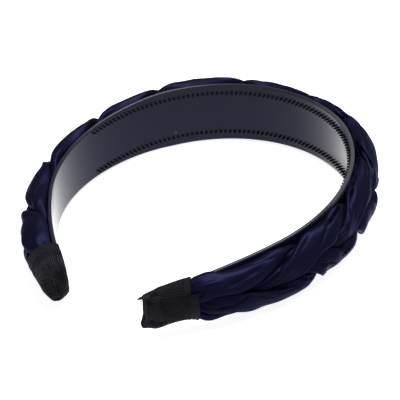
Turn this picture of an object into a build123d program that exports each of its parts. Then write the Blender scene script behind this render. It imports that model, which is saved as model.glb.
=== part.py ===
from build123d import *
from math import cos, hypot, pi, radians, sin
import os

# All sizes are in millimetres. s is the distance along the inner face of the band from the
# middle of the crown, negative on the left leg. n is the distance out from the inner face and
# z the distance across the band, zero in its middle plane.

# Plan of the band, one half: each row is one tangent arc of the inner face.
PLAN = (
    # radius, length
    (62.35, 68.0),
    (75.95, 74.0),
    (159.0, 38.0),
)
LEG_END = 20.3
PLASTIC = 1.9

# Half width of the band: full over the crown, then a straight taper to the tip.
CROWN_HALF = 15.0
TIP_HALF = 7.4
TAPER_FROM = 50.4
TAPER_ROWS = 6
TIP_ROUND = (
    # before_tip, half_width
    (21.0, 8.42),
    (18.8, 7.9),
    (12.0, 7.45),
    (8.0, 7.2),
    (5.0, 6.8),
    (2.6, 6.0),
    (1.0, 4.6),
    (0.0, 2.8),
)

# The side view that cuts the taper reaches this far past the strip.
VIEW_FRONT = 10.0
VIEW_PAST = 10.0
VIEW_WIDE = 120.0

# Comb teeth on the inner face.
TEETH_EACH_SIDE = 41
TOOTH_PITCH = 2.25
TOOTH_ROW_Z = 10.4
TOOTH_LONG = 1.1
TOOTH_WIDE = 1.2
TOOTH_HIGH = 1.6
TOOTH_ROOT = 0.4
TOOTH_TAPER = 9

# One strand's cross-section through half a period of the plait, in a plane across the band.
# side and up place its middle, half_wide and half_thick are its size and lean its turn.
# The other half of the period is the same with side and lean changed in sign.
SECTION = (
    # phase, side, up, half_wide, half_thick, lean
    (0, 0.85, 5.55, 5.9, 2.8, 26.0),
    (30, 6.1, 7.05, 7.4, 2.15, -11.0),
    (60, 9.55, 5.25, 6.0, 3.3, -31.0),
    (90, 8.85, 4.7, 5.65, 4.2, -22.0),
    (120, 10.0, 3.1, 5.15, 3.1, 1.0),
    (150, 5.35, 2.65, 7.3, 2.05, -9.0),
)
SECTION_POWER = 2.5
SECTION_PUFF = 0.8
SECTION_HALF = 16.0
SECTION_TALL = 11.0
STRAND_GAP = 0.6
BAND_GAP = 0.18

# Places along the upper edge where one lobe of the plait gives way to the next.
LOBE_ENDS = (-223, -190, -156, -122, -86, -54, -15, 19, 52, 80, 107, 137, 190, 225)
LOBE_PHASE = 30.0
THIRD = 120.0

# Limits of the search for a strand's outline.
FARTHEST = 2.5
HALVINGS = 18
TINY = 1e-9

# Size of the whole plait along the band.
PLAIT = (
    # s, half_wide, tall, side_shift
    (-189.0, 6.0, 5.6, 0.0),
    (-181.5, 7.6, 9.2, 0.1),
    (-170.0, 10.2, 13.0, 0.3),
    (-150.0, 11.8, 12.6, 0.3),
    (-120.0, 13.0, 11.2, 0.3),
    (-80.0, 14.6, 9.6, 0.2),
    (-35.0, 16.0, 10.8, 0.4),
    (5.0, 15.3, 9.2, -0.2),
    (40.0, 15.2, 10.4, -0.2),
    (65.0, 14.9, 11.8, 0.0),
    (85.0, 14.2, 11.2, -0.2),
    (110.0, 12.9, 10.8, -0.7),
    (145.0, 12.5, 10.8, -1.8),
    (168.0, 11.1, 9.8, -1.8),
    (181.5, 7.6, 6.6, -0.1),
    (189.0, 6.0, 4.6, 0.0),
)
STRAND_STATIONS = 138
STRAND_SIDES = 14

# Ribbon caps: each row is one section across the leg, along from the plait side of the cap.
RIBBON = 1.0
CAP_FROM = 181.5
CAP_GAP = 0.15
MOUTH_PAST = 0.5
CAP_LEFT = (
    # along, half_wide, side_tall, tall, side_shift
    (0.0, 9.3, 6.0, 13.8, 0.2),
    (8.0, 9.0, 5.4, 11.8, 0.0),
    (14.0, 8.5, 4.6, 9.6, -0.2),
    (18.0, 7.2, 4.0, 7.8, -0.2),
    (20.8, 4.8, 3.6, 6.0, -0.5),
)
CAP_RIGHT = (
    # along, half_wide, side_tall, tall, side_shift
    (0.0, 9.3, 4.6, 10.4, 0.0),
    (8.0, 9.05, 4.2, 9.0, -0.1),
    (15.0, 8.6, 3.8, 7.2, -0.4),
    (19.0, 8.0, 3.4, 6.0, -0.7),
    (21.5, 7.0, 3.2, 4.8, -1.0),
)

# The headband lies on its edge, on three lobes of the plait. This turns the band's own middle
# plane to how it lies and brings the middle of its foot to the origin.
LIE_SHIFT = (-0.161, 72.501, 15.988)
LIE_TURN = (1.1, -0.48, 0)
LAID = Location(LIE_SHIFT, LIE_TURN)


def plan(s):
    """Point and turn of the inner face at s, on the right half for s > 0."""
    x, y, turn = 0.0, 0.0, 0.0
    left = abs(s)
    for radius, length in PLAN:
        go = min(left, length)
        more = go / radius
        x += radius * (sin(turn + more) - sin(turn))
        y += radius * (cos(turn + more) - cos(turn))
        turn += more
        left -= go
    x += left * cos(turn)
    y -= left * sin(turn)
    return (x if s >= 0 else -x), y, (turn if s >= 0 else -turn)


def across(s):
    """Plane across the band at s, its X out from the inner face and its Y over the width."""
    x, y, turn = plan(s)
    out = (sin(turn), cos(turn), 0)
    ahead = (cos(turn), -sin(turn), 0)
    return Plane(LAID * Plane(origin=(x, y, 0), x_dir=out, z_dir=ahead).location)


def half_length():
    return sum(length for _, length in PLAN) + LEG_END


def half_width(s):
    share = (abs(s) - TAPER_FROM) / (half_length() - TAPER_FROM)
    return CROWN_HALF + (TIP_HALF - CROWN_HALF) * max(0.0, min(1.0, share))


def plan_point(s, n):
    """Point of the plan at distance n out from the inner face."""
    x, y, turn = plan(s)
    return x + n * sin(turn), y + n * cos(turn)


def draw_plan_line(n):
    """Draws the plan at distance n from the inner face, from the left tip to the right."""
    stops = [0.0]
    for _, length in PLAN:
        stops.append(stops[-1] + length)
    Line(plan_point(-half_length(), n), plan_point(-stops[-1], n))
    ends = [-stop for stop in stops[:0:-1]] + stops
    for a, b in zip(ends, ends[1:]):
        ThreePointArc(plan_point(a, n), plan_point((a + b) / 2, n), plan_point(b, n))
    Line(plan_point(stops[-1], n), plan_point(half_length(), n))


def draw_taper(side):
    """Draws one edge of the band's side view, from before the crown to past the tip."""
    round_from = half_length() - TIP_ROUND[0][0]
    span = round_from - TAPER_FROM
    rows = [TAPER_FROM + span * i / (TAPER_ROWS - 1) for i in range(TAPER_ROWS)]
    taper = [(plan(s)[1], side * half_width(s)) for s in rows]
    round_rows = [(plan(half_length() - d)[1], side * half) for d, half in TIP_ROUND[1:]]
    front = (VIEW_FRONT, side * CROWN_HALF)
    back = (round_rows[-1][0] - VIEW_PAST, round_rows[-1][1])
    Line(front, taper[0])
    Spline(*taper)
    Spline(taper[-1], *round_rows)
    Line(round_rows[-1], back)
    return front, back


def tooth_plane(s, z):
    """Foot of a comb tooth, a little inside the plastic and facing the head."""
    x, y, turn = plan(s)
    foot = plan_point(s, TOOTH_ROOT)
    ahead = (cos(turn), -sin(turn), 0)
    inwards = (-sin(turn), -cos(turn), 0)
    return Plane(LAID * Plane(origin=(*foot, z), x_dir=ahead, z_dir=inwards).location)


def make_band():
    """The bent plastic strip with its comb teeth, one moulding."""
    with BuildPart() as band:
        with BuildSketch(Plane(LAID)):
            with BuildLine():
                draw_plan_line(0)
                draw_plan_line(PLASTIC)
                for end in (-half_length(), half_length()):
                    Line(plan_point(end, 0), plan_point(end, PLASTIC))
            make_face()
        extrude(amount=CROWN_HALF + VIEW_PAST, both=True)
        with BuildSketch(Plane(LAID * Plane.YZ.location)):
            with BuildLine():
                upper, lower = draw_taper(1), draw_taper(-1)
                for a, b in zip(upper, lower):
                    Line(a, b)
            make_face()
        extrude(amount=VIEW_WIDE, both=True, mode=Mode.INTERSECT)
        for i in range(-TEETH_EACH_SIDE, TEETH_EACH_SIDE + 1):
            for side in (-1, 1):
                with BuildSketch(tooth_plane(i * TOOTH_PITCH, side * TOOTH_ROW_Z)):
                    Rectangle(TOOTH_LONG, TOOTH_WIDE)
        extrude(amount=TOOTH_ROOT + TOOTH_HIGH, taper=TOOTH_TAPER)
    return band


def row_at(table, s):
    """Values of a table at s, on a smooth line through its rows."""
    last = len(table) - 1
    i = max(k for k in range(last) if k == 0 or table[k][0] <= s)
    a, b = table[i], table[i + 1]
    share = max(0.0, min(1.0, (s - a[0]) / (b[0] - a[0])))
    before, after = table[max(i - 1, 0)], table[min(i + 2, last)]
    values = []
    for low, p, q, high in zip(before[1:], a[1:], b[1:], after[1:]):
        start = (q - low) / (b[0] - before[0]) * (b[0] - a[0])
        end = (high - p) / (after[0] - a[0]) * (b[0] - a[0])
        t2, t3 = share**2, share**3
        values.append(
            (2 * t3 - 3 * t2 + 1) * p
            + (t3 - 2 * t2 + share) * start
            + (3 * t2 - 2 * t3) * q
            + (t3 - t2) * end
        )
    return values


def phase_at(s):
    """Phase of the first strand in degrees. It falls by a third of a turn from lobe to lobe."""
    rows = [(end, -THIRD * i) for i, end in enumerate(LOBE_ENDS)]
    return LOBE_PHASE + row_at(rows, s)[0]


def section_values(phase):
    """Side, up, half width, half thickness and lean at any phase, on a smooth round curve."""
    rows = [row[1:] for row in SECTION]
    rows += [(-side, up, wide, thick, -lean) for side, up, wide, thick, lean in rows]
    count = len(rows)
    total = [0.0] * 5
    for i, row in enumerate(rows):
        away = radians(phase) - 2 * pi * i / count
        weight = 1 + 2 * sum(cos(k * away) for k in range(1, count // 2))
        weight = (weight + cos(count // 2 * away)) / count
        total = [have + weight * value for have, value in zip(total, row)]
    return total


def outside(section, side, up):
    """Distance of a point outside a section, less than zero inside it."""
    mid_side, mid_up, wide, thick, lean = section
    c, t = cos(radians(lean)), sin(radians(lean))
    u = (side - mid_side) * c + (up - mid_up) * t
    v = (up - mid_up) * c - (side - mid_side) * t
    ratio = abs(u / wide) ** SECTION_POWER + abs(v / thick) ** SECTION_POWER + TINY
    ratio = ratio ** (1 / SECTION_POWER)
    return (ratio - 1) * hypot(u, v) / ratio


def fits(sections, k, side, up):
    """Whether a point belongs to strand k: clear of the band and of both other strands."""
    own = outside(sections[k], side, up)
    others = min(outside(sections[j], side, up) for j in range(3) if j != k)
    return up >= 0 and own <= SECTION_PUFF and own + STRAND_GAP <= others


def section_ring(sections, k):
    """Outline of strand k, pressed against its neighbours."""
    mid_side, mid_up, wide, thick, lean = sections[k]
    c, t = cos(radians(lean)), sin(radians(lean))
    ring = []
    for i in range(STRAND_SIDES):
        angle = 2 * pi * i / STRAND_SIDES
        u, v = wide * cos(angle), thick * sin(angle)
        reach = (u * c - v * t, u * t + v * c)
        near, far = 0.0, FARTHEST
        for _ in range(HALVINGS):
            half = (near + far) / 2
            if fits(sections, k, mid_side + half * reach[0], mid_up + half * reach[1]):
                near = half
            else:
                far = half
        ring.append((mid_side + near * reach[0], mid_up + near * reach[1]))
    return ring


def stations():
    """Places along the band at even steps of the plait's phase."""
    start, end = PLAIT[0][0], PLAIT[-1][0]
    first, last = phase_at(start), phase_at(end)
    places = [start]
    for i in range(1, STRAND_STATIONS):
        goal = first + (last - first) * i / STRAND_STATIONS
        low, high = places[-1], end
        for _ in range(2 * HALVINGS):
            half = (low + high) / 2
            low, high = (half, high) if phase_at(half) > goal else (low, half)
        places.append(low)
    return places + [end]


def strand_rings(k):
    """Outlines of strand k from the left cap to the right."""
    rings = []
    for s in stations():
        sections = [section_values(phase_at(s) + THIRD * j) for j in range(3)]
        half, tall, shift = row_at(PLAIT, s)
        plane = across(s)
        ring = []
        for side, up in section_ring(sections, k):
            n = PLASTIC + BAND_GAP + up * tall / SECTION_TALL
            z = shift + side * half / SECTION_HALF
            ring.append(plane.from_local_coords(Vector(n, z, 0)))
        rings.append(ring)
    return rings


def ring_middle(ring):
    return sum(ring, Vector(0, 0, 0)) / len(ring)


def side_corners(low, high):
    """Triangles between two rings, each quad cut so that it bows inwards."""
    count = len(low)
    middle = (ring_middle(low) + ring_middle(high)) / 2
    corners = []
    for i in range(count):
        j = (i + 1) % count
        rising = ((low[i] + high[j]) / 2 - middle).length
        falling = ((low[j] + high[i]) / 2 - middle).length
        if rising <= falling:
            corners += [(low[i], low[j], high[j]), (low[i], high[j], high[i])]
        else:
            corners += [(low[i], low[j], high[i]), (low[j], high[j], high[i])]
    return corners


def end_corners(ring, order):
    """Fan of triangles that closes one end."""
    middle = ring_middle(ring)
    pairs = [(a, b)[::order] for a, b in zip(ring, ring[1:] + ring[:1])]
    return [(middle, *pair) for pair in pairs]


def faceted(rings):
    """Closed solid through rings of equally many points."""
    corners = end_corners(rings[0], -1) + end_corners(rings[-1], 1)
    for low, high in zip(rings, rings[1:]):
        corners += side_corners(low, high)
    faces = [Face(Wire.make_polygon(three)) for three in corners]
    return Solid(Shell(faces))


def make_strand(k):
    """One padded satin tube of the plait."""
    with BuildPart() as strand:
        add(faceted(strand_rings(k)))
    return strand


def draw_cap_section(low, half, shoulder, high, shift):
    """Draws a section across a leg: flat inside, straight sides, bowed outside."""
    left, right = shift - half, shift + half
    Polyline((shoulder, left), (low, left), (low, right), (shoulder, right))
    ThreePointArc((shoulder, left), (high, shift), (shoulder, right))


def make_cap(side, table):
    """Ribbon sleeve round a leg, open towards the plait and closed over the tip."""
    last = table[-1][0]
    with BuildPart() as cap:
        for along, half, shoulder, high, shift in table:
            with BuildSketch(across(side * (CAP_FROM + along))):
                with BuildLine():
                    draw_cap_section(-CAP_GAP - RIBBON, half, shoulder, high, shift)
                make_face()
        loft()
        for along, half, shoulder, high, shift in table:
            inside = -MOUTH_PAST if along == 0 else min(along, last - RIBBON)
            inner = (half - RIBBON, shoulder - RIBBON / 2, high - RIBBON)
            with BuildSketch(across(side * (CAP_FROM + inside))):
                with BuildLine():
                    draw_cap_section(-CAP_GAP, *inner, shift)
                make_face()
        loft(mode=Mode.SUBTRACT)
    return cap


def main():
    os.makedirs("parts", exist_ok=True)
    pieces = {"band": make_band()}
    for k in range(3):
        pieces[f"strand_{k + 1}"] = make_strand(k)
    pieces["cap_left"] = make_cap(-1, CAP_LEFT)
    pieces["cap_right"] = make_cap(1, CAP_RIGHT)
    for name, piece in pieces.items():
        piece.part.label = name
        export_step(piece.part, f"parts/{name}.step")


main()
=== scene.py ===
import math
from collections import namedtuple

import bmesh
import bpy
import numpy as np
from mathutils import Matrix, Vector
from numpy.linalg import norm


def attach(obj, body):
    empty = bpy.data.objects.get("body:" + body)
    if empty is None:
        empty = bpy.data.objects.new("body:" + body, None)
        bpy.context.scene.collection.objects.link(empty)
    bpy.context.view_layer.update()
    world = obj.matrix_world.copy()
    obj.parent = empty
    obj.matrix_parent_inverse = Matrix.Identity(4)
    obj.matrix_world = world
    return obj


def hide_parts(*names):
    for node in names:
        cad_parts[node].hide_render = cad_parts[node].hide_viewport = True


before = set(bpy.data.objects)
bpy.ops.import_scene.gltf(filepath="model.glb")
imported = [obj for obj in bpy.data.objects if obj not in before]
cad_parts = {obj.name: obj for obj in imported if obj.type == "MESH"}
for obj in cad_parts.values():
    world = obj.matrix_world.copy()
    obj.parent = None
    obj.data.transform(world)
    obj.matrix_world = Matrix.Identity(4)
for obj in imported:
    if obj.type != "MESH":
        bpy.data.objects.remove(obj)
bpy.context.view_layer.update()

# Sizes are in millimetres in the band's own frame, as in the part's source: s runs along the
# inner face from the middle of the crown, less than 0 on the left leg, n out from that face and
# z across the band. laid() brings them to the frame, in metres.
MM = 0.001
LIE_SHIFT = (-0.161, 72.501, 15.988)
LIE_TURN_X, LIE_TURN_Y = 1.1, -0.48
TINY, TINIER = 1e-9, 1e-12
# A full turn, in radians.
TURN = 2 * np.pi

# Plan of the inner face, one half: radius and length of each arc, then a straight leg.
PLAN = ((62.35, 68), (75.95, 74), (159, 38))
LEG_END = 20.3
HALF_LENGTH = sum(length for _, length in PLAN) + LEG_END
PLASTIC = 1.9
CROWN_HALF = 15.0
TIP_HALF = 7.4
TAPER_FROM = 50.4
# Distance before the end of the strip, and its half width there.
TIP_ROUND = (
    (21, 8.42), (18.8, 7.9), (12, 7.45), (8, 7.2), (5, 6.8), (2.6, 6), (1, 4.6), (0, 2.8),
)
EDGE_ROUND = 0.8
ROUND_STEPS, FLAT_STEPS, BAND_ROWS = 6, 10, 402
RIM_PALE = (
    # s, how much paler the painted highlight makes the strip's upper edge
    (-201, 0), (14, 0), (30, 0.5), (46, 1), (104, 1), (122, 0.3), (140, 0), (201, 0),
)
# How much higher the strip's upper edge stands on the right leg.
RIM_RAISE = (
    # s, raise
    (-201, 0), (60, 0), (85, 0.6), (110, 1.2), (150, 1.2), (168, 0.8), (178, 0.2), (182, 0), (201, 0),
)
# Fold values of the strip's inner edges and of its upper edge, both carrying painted highlights.
HIGHLIT_EDGES, HIGHLIT_RIM = 1, 2
TUBE_ENDS = 2

# Comb teeth: two rows, each tooth a squared ring at each height over the inner face.
TEETH_EACH_SIDE = 41
TOOTH_PITCH = 2.25
TOOTH_ROW_Z = 10.4
TOOTH_HALF_LONG, TOOTH_HALF_WIDE = 0.5, 0.55
TOOTH = (
    # height, grown
    (-0.3, 0.16), (0, 0.16), (0.12, 0.05), (0.35, 0), (1.3, -0.14), (1.52, -0.2), (1.6, -0.32),
)
TOOTH_SIDES = 12
TOOTH_POWER = 3.5

# One strand's section through half a period of the plait.
SECTION = (
    # phase, side, up, half_wide, half_thick, lean
    (0, 0.85, 5.55, 5.9, 2.8, 26), (30, 6.1, 7.05, 7.4, 2.15, -11), (60, 9.55, 5.25, 6, 3.3, -31),
    (90, 8.85, 4.7, 5.65, 4.2, -22), (120, 10, 3.1, 5.15, 3.1, 1), (150, 5.35, 2.65, 7.3, 2.05, -9),
)
SECTION_POWER = 2.5
SECTION_PUFF = 0.8
SECTION_HALF, SECTION_TALL = 16.0, 11.0
STRAND_GAP, BAND_GAP = 0.05, 0.18
# Shares of a section's size between which its outline is searched for, and how often halved.
PRESS_NEAR, PRESS_FAR, PRESS_STEPS = 0.02, 2.5, 20
LOBE_ENDS = (-223, -190, -156, -122, -86, -55, -18, 14, 40, 71, 104, 137, 190, 225)
LOBE_PHASE, THIRD = 30, 120.0
PLAIT = (
    # s, half_wide, tall, side_shift
    (-189, 7, 7, 0), (-181.5, 7.9, 10.2, 0.1), (-178.5, 8.3, 11.2, 0.1), (-175, 9.4, 12.3, 0.2),
    (-170, 10.2, 13, 0.3), (-150, 11.8, 12.6, 0.3), (-120, 13, 10.8, 0.3), (-80, 14.4, 8.6, 0.2),
    (-35, 15.6, 10.4, 0.4), (5, 15, 9, -0.2), (25, 15, 8.8, -0.2), (45, 15.2, 11, -0.2),
    (65, 14.7, 10.4, 0.2), (80, 13.8, 9.8, 0.4), (110, 12.7, 9.6, 0), (140, 12.2, 10.4, -1),
    (160, 11.6, 10, -1.4), (168, 11.3, 9.8, -1), (174.5, 11.3, 9.6, -0.2), (178.2, 11.3, 9, -0.5),
    (180.2, 11, 8.2, -0.5), (181.8, 10.4, 7.3, -0.3), (183.2, 8.9, 6.7, 0.5), (184.6, 7.9, 6.3, 0.1),
    (189, 7.2, 5.4, 0),
)
# How far the lower edge of the plait lies along from where the upper edge would put it.
LOWER_SHIFT = (
    # s, shift
    (-189, 0), (14, 0), (29.5, 4.6), (40, 7.6), (55, 8.4), (72, 8.4), (87.5, 7.7), (104, 6.4),
    (120.5, 6.2), (135, 3.4), (150, -1), (170, -5), (182, -2), (189, 0),
)
LOWER_POWER = 1.5
# Where the satin laps down over the strip's upper edge in front of the right cap.
LAP_FROM, LAP_FULL, LAP_BACK, LAP_END = 168, 174, 182, 184.5
LAP_DEEP = 1.7
LAP_NEAR, LAP_OVER = 0.5, 1.4
# Distance from a neighbour at which the satin counts as free.
FREE_FROM = 0.6
# Fine steps to each row of a strand, from which its rows are spaced.
FINE_STEPS = 20

# Cloth simulation of a strand, in units of 10 mm: grid, scale, frames, slack of the cut satin.
SIM_ROWS, SIM_SIDES = 336, 72
SIM_SCALE, SIM_FRAMES, SIM_SLACK = 0.1, 20, 0.05
SIM_SETTINGS = {
    "quality": 5, "mass": 0.3, "tension_stiffness": 15, "compression_stiffness": 10,
    "shear_stiffness": 5, "bending_stiffness": 0.3, "use_pressure": True,
    "uniform_pressure_force": 1, "vertex_group_mass": "held", "pin_stiffness": 1,
}
# The most a point may move, and the share of each move inwards that is taken out again.
SIM_CAP, INWARD_STOPPED = 0.6, 0.85
# Share by which a strand's points are evened out before it is simulated.
SOFTENED = 0.5

# Creases of the satin that the photograph shows, each a line of points on one strand.
CREASES = (
    # strand, depth, width, corners (s, n, z)
    (1, 0.75, 0.75, ((175.5, 9.6, -2.6), (170, 10.8, -3.2), (164.5, 11.3, -2.2), (160, 11, -0.6))),
    (2, 0.85, 0.8, (
        (158, 9.6, -1.2), (155.1, 10.1, 0.3), (149.8, 10.4, 3), (145.4, 8.6, 4.8), (142.5, 7.2, 6.2),
    )),
    (0, 0.5, 0.6, ((181.5, 8.2, 3.4), (179.2, 8.1, 5.2), (177.2, 7.6, 6.6))),
    (0, 0.3, 1.3, ((172, 9.2, 5.2), (163, 9.6, 7.2), (153, 8.2, 8.8))),
    (2, 0.4, 0.7, ((179.2, 7, -4.6), (175, 7.2, -7), (171, 7, -8.6))),
    (2, 0.28, 1, ((126.5, 4.2, 11.3), (128, 4.9, 11.2), (133.5, 7.9, 10), (139.5, 10.3, 7.9))),
    (2, 1.3, 1.4, ((105.5, 3.6, 10), (110, 4.8, 11.4), (115, 5.6, 11.8), (119.8, 7, 11.2))),
    (2, 0.5, 1.1, ((117, 5.8, 11.6), (121, 7.7, 10.9), (125, 9.6, 9.6), (130.5, 11.7, 5.4))),
    (0, 1, 0.7, ((142, 7, 7.6), (139.6, 6.2, 8.2), (137.2, 5.4, 8.6))),
    (0, 0.8, 0.65, (
        (129.6, 10.8, -0.6), (127.6, 11.6, -2.4), (124.2, 12.2, -4.7), (119.8, 11.5, -7.9),
    )),
    (1, 0.8, 0.65, ((137.4, 10.6, -3.6), (134.6, 10.8, -5.6), (131, 10.6, -8.2), (127.6, 9.2, -10.8))),
    (0, 0.9, 0.6, ((106.4, 11.5, -3.2), (109.4, 12, -4.2), (113.2, 12.3, -5.2), (117.4, 12.3, -5.6))),
    (0, 0.5, 0.9, ((104.5, 11, -8.4), (109, 11.2, -9.4), (114, 11, -9.8))),
    (2, 0.8, 1.1, ((151.4, 9.6, -2.4), (148.7, 9.9, -3.3), (146.6, 9.9, -3.9))),
    (1, 0.9, 1.1, ((148.6, 10, -4.1), (146, 10.1, -4.6), (143.2, 10.7, -5), (140.4, 11, -5.8))),
    (1, 0.4, 0.8, ((160, 10.8, -1.6), (157, 11.4, -2.8), (154, 12.2, -4.6), (148.8, 12.3, -6.8))),
    (1, 1.2, 1.2, (
        (93.5, 4.2, 12.9), (97.4, 5.5, 12.7), (101.4, 6.8, 12.1), (105.3, 8, 11.2), (109.6, 9.2, 8.6),
    )),
    (1, 0.35, 1.3, ((92, 9.6, 9.8), (98, 11.2, 7.4), (105, 12, 3.6))),
    (0, 1.1, 1.2, (
        (66.5, 5.2, 14.2), (71.5, 6.2, 14.2), (74.8, 7.4, 13.9), (76.2, 9.6, 12.2), (77.4, 11, 9.8),
    )),
    (0, 0.35, 1.2, ((80, 9.6, 11.2), (86, 11.6, 7), (92, 12.2, 1.8))),
    (0, 1.3, 2, ((61, 2.9, 13.3), (65, 3, 13.5), (67.6, 4, 13.7), (69.6, 5.4, 13.5))),
    (1, 1.3, 1.9, ((72, 3, 13.6), (75, 3.2, 13.6), (78.6, 3.1, 13.5), (82.5, 3, 13.3))),
    (1, 1.2, 1.2, ((87, 3, 12.7), (90.7, 3.2, 12.6), (94, 3.9, 12.9))),
    (2, 0.7, 0.8, ((29, 6.2, 14.6), (33.5, 5.4, 14.4), (38, 4.8, 14.2), (42, 4.2, 14))),
    (2, 0.5, 0.7, ((31, 8.6, 12.8), (36, 8.4, 12.4), (41.5, 7, 12.6))),
    (0, 0.8, 0.8, ((-122.4, 9.8, 9.8), (-125, 10.2, 9.6), (-129, 11, 8.6))),
    (0, 0.7, 0.7, ((-122.4, 7.8, 11.8), (-125.5, 8.2, 11.6), (-130, 9, 10.8))),
    (0, 0.7, 0.8, ((-146, 11.4, 5.2), (-143, 11.2, 6.6), (-139, 10.8, 8.2))),
    (1, 0.8, 0.7, ((-98, 7.2, 12.9), (-93.6, 6.6, 13.6), (-89.2, 5.4, 14))),
    (1, 0.6, 0.7, ((-99, 9.6, 11), (-94.5, 8.8, 12.4), (-90, 7.6, 13.2))),
)
CREASE_THIN, CREASE_POWER, CREASE_REACH = 0.75, 1.25, 5
CREASE_RIDGE, RIDGE_AWAY, RIDGE_WIDE = 0.16, 2, 0.8
# Part of a line over which it fades at each end, and what is left of it there.
CREASE_FADE, CREASE_LEFT = 0.22, 0.25
# Points of a line to each of its corners, and how often it is evened out on the surface.
LINE_STEPS, LINE_EVENED = 6, 3

# Gathers where a strand comes up and where it tucks in, in degrees of its phase past the middle
# of each lobe, and where it goes into a cap.
LOBE_STEP = 180.0
GATHER_UP, GATHER_TUCK = -38.0, 84.0
GATHERS_EACH, MOUTH_GATHERS = 3, 7
GATHER_SEED = 11
GATHER_PLACES = 4000
GATHER_SHARE, GATHER_SPAN, MOUTH_WIDE = 0.05, 0.4, 0.7
GATHER_RANGES = (
    # spot in its turn, depth, width, turn a mm, reach, aside
    (0.1, 0.9), (0.2, 0.55), (0.4, 0.6), (-0.006, 0.006), (4, 9), (-2, 2),
)
MOUTH_RANGES = (
    # spot in its turn, depth, reach, turn a mm
    (0.1, 0.9), (0.3, 0.6), (4, 7.5), (-0.004, 0.004),
)

# Slow waves of the padding, and how deep all marks press where the satin is held or free.
WAVE_SEED, WAVE_COUNT, WAVE_DEEP = 5, 6, 0.3
WAVE_TURNS, WAVE_LENGTH = (1, 4), (9, 26)
DEEPEST = 1.3
HIGHEST = DEEPEST / 4
HELD_PRESS = 0.3
# Painted shade where a strand is pressed against its neighbours or the band, and how much less of it
# there is by the right cap's mouth.
CONTACT_SHADE, CONTACT_SHADE_POWER = 0.9, 1.5
MOUTH_PALER, MOUTH_PALE_FROM, MOUTH_PALE_FULL = 0.9, 168, 177

# Ribbon caps: the sleeve's outline at each place along it.
CAP_FROM = 181.5
CAP_LEFT = (
    # along, low, half_wide, side_tall, tall, side_shift, corner
    (0, -0.9, 9.1, 6, 13.8, 0.2, 0.95), (8, -0.9, 8.8, 5.4, 11.9, 0.1, 0.95),
    (13, -0.8, 7.9, 5.2, 11.2, 0.1, 0.95), (16.5, -0.75, 6.9, 5.2, 10.8, 0.1, 1),
    (18.6, -0.6, 5.9, 5.4, 10.5, 0.2, 1.8), (20.6, 0.4, 5, 5.6, 9.9, -0.2, 2.2),
    (22.8, 2.4, 3.5, 5.8, 8.8, -1, 2),
)
CAP_RIGHT = (
    (0, -1.1, 9.65, 4.6, 10.4, -0.35, 0.95), (2, -1.1, 9.45, 4, 10.1, 0.05, 0.95),
    (4, -1.1, 8.85, 3.4, 9.8, 0.3, 0.95), (8, -1.1, 8.75, 3.2, 9, 0.15, 0.95),
    (12.5, -1.1, 8.85, 3.3, 8, -0.1, 0.95), (15, -1.1, 8.95, 3.4, 7.4, -0.3, 0.95),
    (17, -1.1, 8.8, 3.4, 6.9, -0.3, 0.95), (19, -1.1, 8.3, 3.4, 6.3, 0, 1),
    (21.5, -1.1, 7.8, 3.1, 5.1, -0.2, 1.2),
)
RIBBON_WALL = 0.6
CAP_AROUND, CAP_ROWS, BOW_POINTS = 560, 60, 160
# Fold that closes a cap over the tip, each row one ring.
TIP_FOLD = (
    # past_end, thick_share, wide_share
    (0.25, 0.95, 0.985), (0.42, 0.86, 0.965), (0.45, 0.72, 0.945), (0.3, 0.55, 0.92), (0.02, 0.38, 0.9),
    (-0.35, 0.22, 0.875), (-0.8, 0.1, 0.85),
)
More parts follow.
